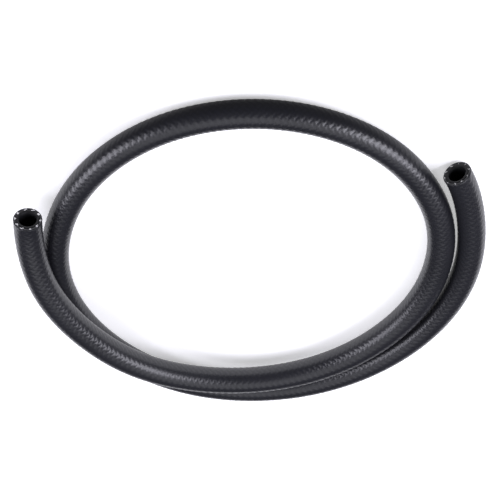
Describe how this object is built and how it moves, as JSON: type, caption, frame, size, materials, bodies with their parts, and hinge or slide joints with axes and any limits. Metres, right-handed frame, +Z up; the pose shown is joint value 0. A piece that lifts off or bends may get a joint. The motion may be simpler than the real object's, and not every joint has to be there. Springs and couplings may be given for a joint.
{
  "type": "fuel hose",
  "caption": "Black reinforced rubber fuel hose with a round bore and square-cut ends, lying in a loose coil.",
  "frame": {"origin": "on the floor that the coil lies on, under the middle of the coil's box", "axes": "+Z up from the floor; +X along the coil's longer side, towards the raised end; -Y towards both cut ends' mouths"},
  "size_m": [0.2096, 0.1906, 0.0259],
  "materials": {
    "cover_rubber": "satin, with a fine criss-cross cloth impression",
    "yarn": "matt twisted yarn",
    "tube_rubber": "smooth satin"
  },
  "bodies": {
    "root": {"outer_cover": "cover_rubber", "yarn_reinforcement": "yarn", "inner_tube": "tube_rubber"}
  },
  "joints": []
}
